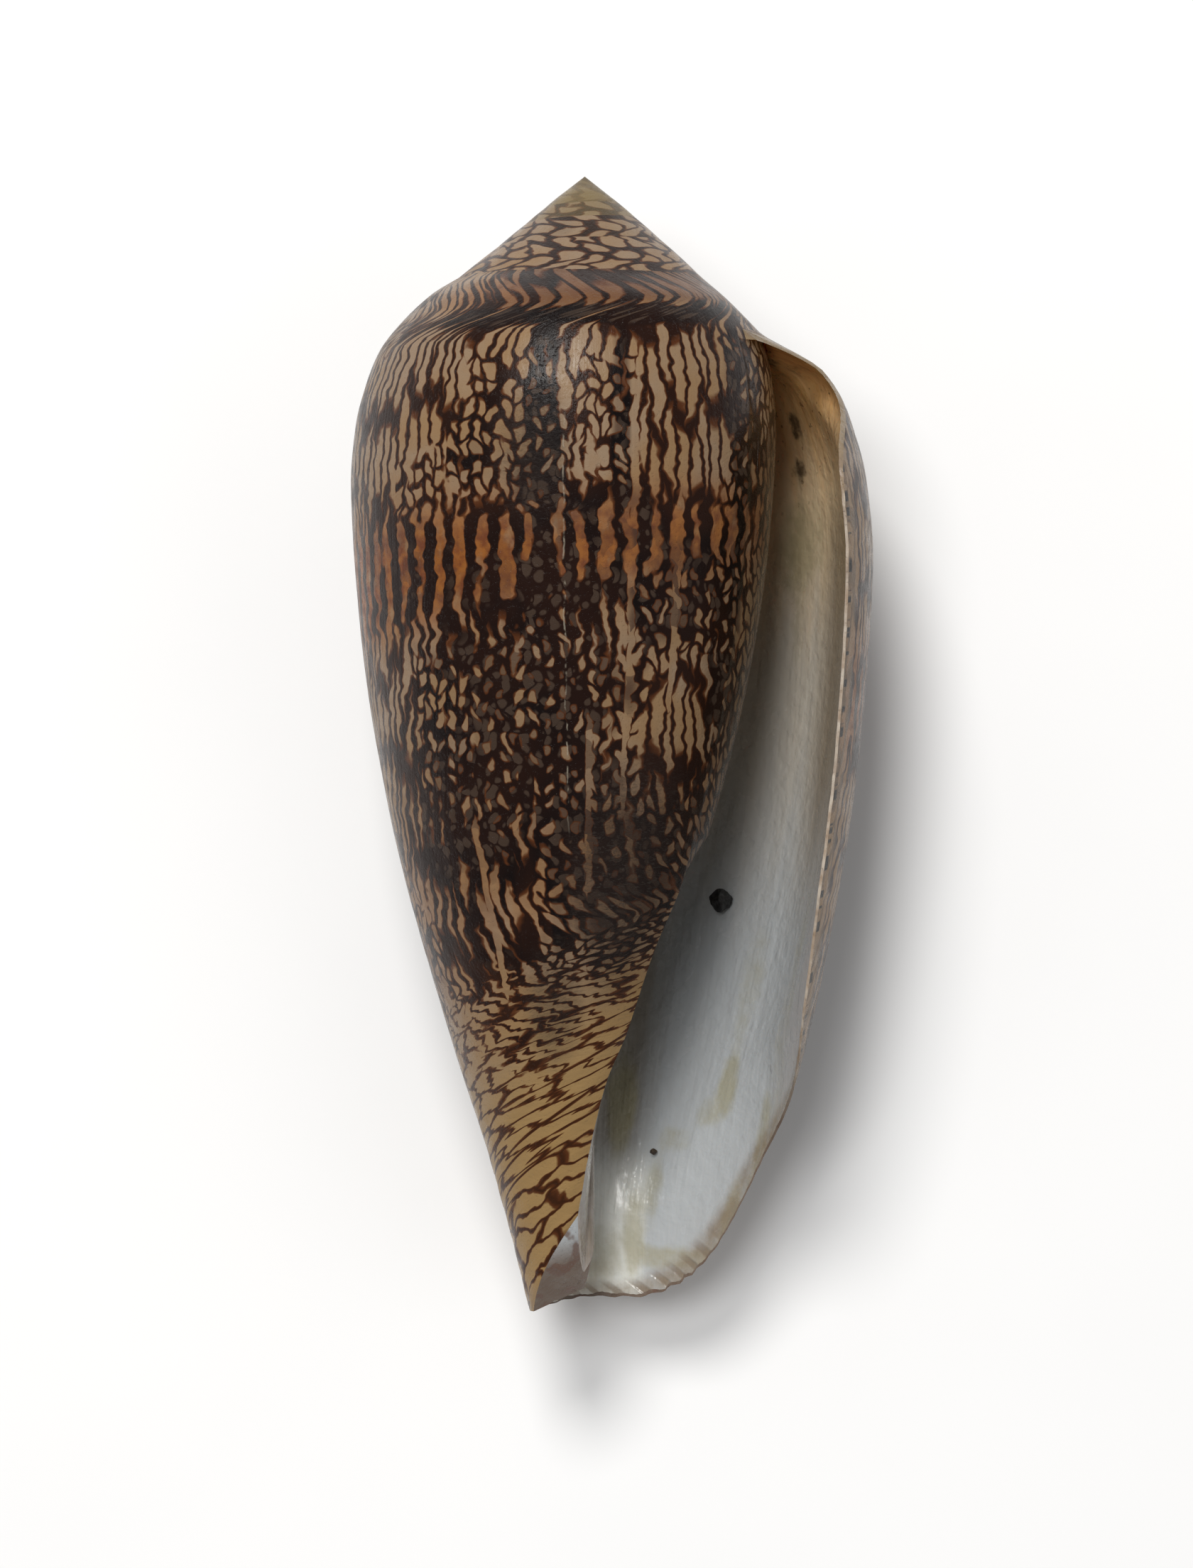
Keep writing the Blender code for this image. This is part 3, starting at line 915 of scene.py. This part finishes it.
    # beside the lip: a pale strip with a row of dark dashes
    behind = readMark("behindLip")
    dash = noiseAt(vectorOf(0.0, times(level, 0.9)), 1.3, 3.0)
    dash = within((behind, 0.1, 0.2), (behind, 0.62, 0.48), (dash, 0.5, 0.56))
    colour = mixColour(spread(behind, 1.6, 0.9, 0.0, 0.55), colour, look["lipPale"])
    colour = mixColour(dash, colour, look["dark"])
    plug(colour, shader.inputs["Base Color"])

    # gloss and relief
    grain = useGroup(grainGroup, Place=body, Size=0.16, Pits=0.6)
    rough = plus(grade(grain["Wear"], look["roughness"]), times(rubbed, 0.12))
    rough = plus(rough, times(scratches, 0.15))
    plug(rough, shader.inputs["Roughness"])
    ridge = noiseAt(stretched(across, along, 2.6, 0.1), 1.0, 4.0, 0.6)
    ridge = minus(plus(ridge, times(scar, 0.8)), times(scratches, 0.5))
    addBumps(shader, (ridge, look["ridge"]), (grain["Height"], look["grain"]))
    return made


# porcelain inside of the shell

insideLook = {
    # top and upper are the olive and tan of the inside, made paler as painted light where the lamps don't
    # reach
    "top": (0.74, 0.41, 0.145),
    "upper": (0.74, 0.56, 0.34),
    "middle": (0.54, 0.49, 0.41),
    "low": (0.405, 0.422, 0.43),
    "blotch": (0.05, 0.026, 0.013),
    "stain": (0.3, 0.265, 0.135),
    # a purplish tone near the lip, darkened in part as painted shade
    "shadedMauve": (0.4, 0.345, 0.32),
    "shade": (0.235, 0.195, 0.145),
    # under: painted shadow of the lip, a darker brown on the inside just behind it
    "under": (0.21, 0.15, 0.085),
    # a pale patch of painted light deep inside, low down, where the floor should look lit and glossy
    "paintedLight": (0.74, 0.74, 0.68),
    # painted shade in the grooves between the teeth
    "shadedGroove": (0.085, 0.055, 0.046),
    "rim": (0.2, 0.155, 0.105),
    # heights in mm over which one tone goes into the next
    "tones": [("upper", 10.0, 18.0), ("middle", 16.0, 27.0), ("low", 26.0, 42.0)],
    "toneDrift": 7.0,
    "shadeDrift": 14.0,
    "roughness": (0.17, 0.34),
    "ripple": 0.00006,
    "grain": 0.000012,
    "fixed": {
        "Subsurface Weight": 0.12,
        "Subsurface Scale": 0.0012,
        "Subsurface Radius": (1.0, 0.7, 0.5),
        "Coat Weight": 0.5,
        "Coat Roughness": 0.12,
    },
}


def insideMaterial():
    look = insideLook
    made, shader = startMaterial("conePorcelain", look["fixed"])
    turn, height = mapPlace("growthMap", 1.0, 100.0)
    angle = times(turn, 360.0)
    level = maths("DIVIDE", height, maths("POWER", spiral["whorlGrowth"], turn))
    body = bodyPlace()
    streak = swing(stretched(angle, height, 0.16, 0.06), 1.0, 3.0)
    place = plus(height, times(streak, look["toneDrift"]))
    colour = look["top"]
    for name, start, end in look["tones"]:
        colour = mixColour(spread(place, start, end), colour, look[name])
    # purplish near the lip, partly painted shade; brown painted shadow of the lip below the shoulder;
    # painted shade and a painted highlight deep inside
    deep = plus(angle, times(streak, look["shadeDrift"]))
    zones = [
        ("shadedMauve", 0.7, (angle, -44.0, -10.0), (height, 20.0, 30.0)),
        ("under", 0.7, (angle, -56.0, -40.0), (height, 15.0, 20.0), (height, 42.0, 30.0)),
        ("shade", 0.75, (deep, -88.0, -104.0), (height, 24.0, 36.0), (height, 56.0, 50.0)),
        ("paintedLight", 0.85, (deep, -82.0, -96.0), (height, 51.0, 54.5)),
    ]
    for name, strength, *limits in zones:
        colour = mixColour(times(within(*limits), strength), colour, look[name])
    # the marks get ragged edges
    ragged = noiseAt(body, 620.0, 4.0, 0.65)
    frayed = times(minus(ragged, 0.5), 1.5)
    mark = readMark("blotch")
    blotch = within((plus(mark, frayed), 0.5, 0.95), (mark, 0.05, 0.35))
    colour = mixColour(times(blotch, 0.85), colour, look["blotch"])
    stain = plus(readMark("stain"), times(frayed, 0.55))
    colour = mixColour(spread(stain, 0.25, 0.95, 0.0, 0.6), colour, look["stain"])
    freckles = within((noiseAt(body, 2300.0, 2.0), 0.66, 0.72), (height, 22.0, 12.0))
    colour = mixColour(times(freckles, 0.55), colour, look["blotch"])
    # grooves between the blunt teeth of the far edge, darkened with painted shade
    behind = readMark("behindLip")
    sway = maths("SINE", times(level, meshDetail["toothSwayPitch"]))
    teeth = plus(times(level, meshDetail["toothPitch"]), times(sway, meshDetail["toothSway"]))
    shadedGroove = within((maths("SINE", teeth), -0.1, 0.8), (behind, 1.7, 0.3), (level, 58.0, 61.5))
    colour = mixColour(times(shadedGroove, 0.75), colour, look["shadedGroove"])
    rim = within((behind, 1.7, 0.7), (level, 40.0, 50.0), (ragged, 0.3, 0.62, 0.55, 1.0))
    colour = mixColour(times(rim, 0.8), colour, look["rim"])
    plug(colour, shader.inputs["Base Color"])
    # gloss and relief
    grain = useGroup(grainGroup, Place=body, Size=0.5, Pits=0.15)
    plug(grade(grain["Wear"], look["roughness"]), shader.inputs["Roughness"])
    ripple = noiseAt(stretched(angle, height, 0.3, 0.22), 1.0)
    beads = spread(noiseAt(body, 1300.0), 0.35, 0.7)
    ripple = minus(plus(ripple, times(beads, 0.45)), times(shadedGroove, 0.8))
    addBumps(shader, (ripple, look["ripple"]), (grain["Height"], look["grain"]))
    return made


# the lip's cut face

lipLook = {
    "withinTop": (0.22, 0.15, 0.075),
    "edge": (0.46, 0.4, 0.33),
    "edgeWorn": (0.3, 0.22, 0.155),
    "edgeTop": (0.2, 0.14, 0.075),
    "edgeEnd": (0.1, 0.066, 0.048),
    "spots": (0.13, 0.075, 0.055),
    # over this face behindLip runs a whole turn in a third of the radius, so it is scaled to mm
    "faceScale": 0.053,
    "roughness": (0.26, 0.5),
    "grain": 0.00004,
}


def lipMaterial():
    look = lipLook
    made, shader = startMaterial("coneLipEdge")
    body = bodyPlace()
    level = mapPlace("growthMap", byY=100.0)[1]
    inward = times(readMark("behindLip"), look["faceScale"])
    inner = mixColour(spread(level, 12.0, 24.0), look["withinTop"], insideLook["shadedMauve"])
    inner = mixColour(spread(level, 42.0, 56.0), inner, insideLook["low"])
    tone = spread(noiseAt(body, 1100.0, 3.0), 0.3, 0.7)
    edge = mixColour(tone, look["edge"], look["edgeWorn"])
    edge = mixColour(spread(level, 20.0, 14.0, 0.0, 0.9), edge, look["edgeTop"])
    edge = mixColour(spread(level, 46.0, 52.0, 0.0, 0.85), edge, look["edgeEnd"])
    colour = mixColour(spread(inward, 0.1, 0.22), edge, inner)
    spots = within((noiseAt(body, 900.0), 0.54, 0.62), (level, 58.0, 63.0, 0.25, 0.8))
    colour = mixColour(spots, colour, look["spots"])
    plug(colour, shader.inputs["Base Color"])
    grain = useGroup(grainGroup, Place=body, Size=0.2, Pits=0.6)
    plug(grade(grain["Wear"], look["roughness"]), shader.inputs["Roughness"])
    addBumps(shader, (grain["Height"], look["grain"]))
    return made


shellFinish = [outsideMaterial(), insideMaterial(), lipMaterial()]
coil = addObject("coilSolid", meshFrom("coilSolid", coiledSolid()))
room = addObject("roomSolid", meshFrom("roomSolid", hollowSolid()))
print("spiral and hollow meshed", len(coil.data.polygons), len(room.data.polygons))

# all that is under the floor, for the flat that the shell rests on
underMesh = bpy.data.meshes.new("underSolid")
bm = bmesh.new()
underSide = 0.1
bmesh.ops.create_cube(bm, size=underSide)
bmesh.ops.translate(bm, verts=bm.verts, vec=(0.0, 0.0, -0.5 * underSide))
bm.to_mesh(underMesh)
bm.free()
underMesh.uv_layers.new(name="growthMap")
under = addObject("underSolid", underMesh)
for obj in (coil, room, under):
    for finish in shellFinish:
        obj.data.materials.append(finish)
for cutter in (room, under):
    cut = coil.modifiers.new(cutter.name, "BOOLEAN")
    cut.operation = "DIFFERENCE"
    cut.solver = "EXACT"
    cut.object = cutter
evaluated = coil.evaluated_get(bpy.context.evaluated_depsgraph_get())
shellMesh = bpy.data.meshes.new_from_object(evaluated)
for obj in (coil, room, under):
    bpy.data.objects.remove(obj, do_unlink=True)
shellMesh.name = "coneShell"
layPattern(shellMesh)
shellMesh.shade_smooth()
shellMesh.set_sharp_from_angle(angle=math.radians(38))
coneShell = addObject("coneShell", shellMesh)
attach(coneShell, "root")
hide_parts("shell")
print("shell cut", len(shellMesh.polygons), "faces")


# grains of sand stuck inside the lip

grains = {
    "sand_grain_large": {"radius": 0.66, "seed": 3.0, "flat": 0.86, "colour": (0.008, 0.008, 0.008)},
    "sand_grain_small": {"radius": 0.2, "seed": 11.0, "flat": 0.75, "colour": (0.03, 0.02, 0.012)},
}
grainSkin = {
    "facets": 9,
    "facetFar": 0.7,
    "lumps": 0.05,
    "roughEdge": 0.03,
    "roughness": (0.35, 0.8),
    "bump": 0.00003,
}


def grainMaterial(name, colour):
    made, shader = startMaterial(name)
    body = bodyPlace()
    tone = noiseAt(body, 5200.0, 4.0, 0.65)
    paler = tuple(4.0 * c + 0.006 for c in colour)
    shown = mixColour(spread(tone, 0.4, 0.75), colour, paler)
    plug(shown, shader.inputs["Base Color"])
    grain = useGroup(grainGroup, Place=body, Size=0.06, Pits=1.0)
    plug(grade(grain["Wear"], grainSkin["roughness"]), shader.inputs["Roughness"])
    addBumps(shader, (grain["Height"], grainSkin["bump"]))
    return made


def sandGrain(name, look):
    low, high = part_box(name)
    centre = 0.5 * (Vector(low) + Vector(high))
    bm = bmesh.new()
    bmesh.ops.create_icosphere(bm, subdivisions=4, radius=1.0)
    for vert in bm.verts:
        way = vert.co.normalized()
        # a few broken faces, then a rough skin
        cut = 1.0
        for k in range(grainSkin["facets"]):
            turn = look["seed"] + 2.4 * k
            facet = Vector((math.cos(turn), math.sin(turn * 1.3), math.sin(turn * 0.7))).normalized()
            facing = way.dot(facet)
            if facing > 0.25:
                cut = min(cut, grainSkin["facetFar"] / facing)
        rough = grainSkin["lumps"] * noise.noise(way * 3.1 + Vector((look["seed"], 0, 0)))
        rough += grainSkin["roughEdge"] * noise.noise(way * 9.0)
        vert.co = way * look["radius"] * mm * (cut + rough)
        vert.co.z *= look["flat"]
    bmesh.ops.translate(bm, verts=bm.verts, vec=centre)
    mesh = bpy.data.meshes.new(name + "_piece")
    bm.to_mesh(mesh)
    bm.free()
    mesh.shade_smooth()
    mesh.set_sharp_from_angle(angle=math.radians(28))
    mesh.materials.append(grainMaterial(name + "_skin", look["colour"]))
    piece = addObject(name + "_piece", mesh)
    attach(piece, "root")
    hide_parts(name)


for grainName, grainLook in grains.items():
    sandGrain(grainName, grainLook)
print("grains placed")


# floor, light and camera

studio = {
    # distance of the camera, height of the picture and its middle on the shell, in mm
    "cameraFar": 280.0,
    "seen": 82.8,
    "aim": (0.62, -32.2),
    "floor": (0.88, 0.88, 0.88),
    "floorHalf": 3.0,
    "floorDrop": 0.00002,
    "world": 0.25,
    # direction, distance and size in metres, power in watts, colour
    "lamps": {
        "keyLamp": ((-0.2, 0.6, 1.0), 0.6, 0.2, 2.3, (1.0, 0.985, 0.96)),
        "topLamp": ((-0.2, 0.1, 1.0), 0.7, 0.22, 1.7, (1.0, 1.0, 1.0)),
        "fillLamp": ((0.75, -0.25, 0.7), 0.8, 0.6, 0.6, (1.0, 1.0, 1.0)),
        "backLamp": ((-0.9, -0.5, 0.45), 0.8, 0.5, 0.42, (1.0, 1.0, 1.0)),
    },
    # the one lamp that shows as a highlight
    "mirrored": "keyLamp",
}

floorMesh = bpy.data.meshes.new("studioFloor")
side = studio["floorHalf"]
corners = [(-side, -side, 0), (side, -side, 0), (side, side, 0), (-side, side, 0)]
floorMesh.from_pydata(corners, [], [(0, 1, 2, 3)])
studioFloor = addObject("studioFloor", floorMesh)
studioFloor.location.z = -studio["floorDrop"]
floorFinish, floorShader = startMaterial("palePaper", {"Roughness": 0.85})
paperTone = noiseAt(bodyPlace(), 40.0, 3.0)
paper = mixColour(spread(paperTone, 0.3, 0.7), studio["floor"], [0.985 * c for c in studio["floor"]])
plug(paper, floorShader.inputs["Base Color"])
floorMesh.materials.append(floorFinish)

scene = bpy.context.scene
scene.view_settings.view_transform = "Standard"
world = bpy.data.worlds.new("studioWorld")
scene.world = world
world.use_nodes = True
sky = world.node_tree.nodes["Background"]
sky.inputs[0].default_value = (1.0, 1.0, 1.0, 1.0)
sky.inputs[1].default_value = studio["world"]


def softLamp(name, way, far, size, power, colour):
    lamp = bpy.data.lights.new(name, "AREA")
    lamp.shape = "DISK"
    lamp.size = size
    lamp.energy = power
    lamp.color = colour
    obj = addObject(name, lamp)
    obj.visible_glossy = name == studio["mirrored"]
    way = Vector(way).normalized()
    obj.location = way * far
    obj.rotation_euler = (-way).to_track_quat("-Z", "Y").to_euler()


for lampName, lampValues in studio["lamps"].items():
    softLamp(lampName, *lampValues)

camera = bpy.data.cameras.new("photoCamera")
cameraObject = addObject("photoCamera", camera)
scene.camera = cameraObject
camera.sensor_width = 36.0
camera.lens = camera.sensor_width * studio["cameraFar"] / studio["seen"]
camera.clip_start = 0.01
camera.clip_end = 20.0
tilt = Matrix.Rotation(math.radians(spiral["tilt"]), 4, "X")
aimX, aimY = studio["aim"]
stand = shellPose @ Vector((aimX, aimY, studio["cameraFar"]))
cameraObject.matrix_world = Matrix.Translation(stand) @ tilt
print("studio set")
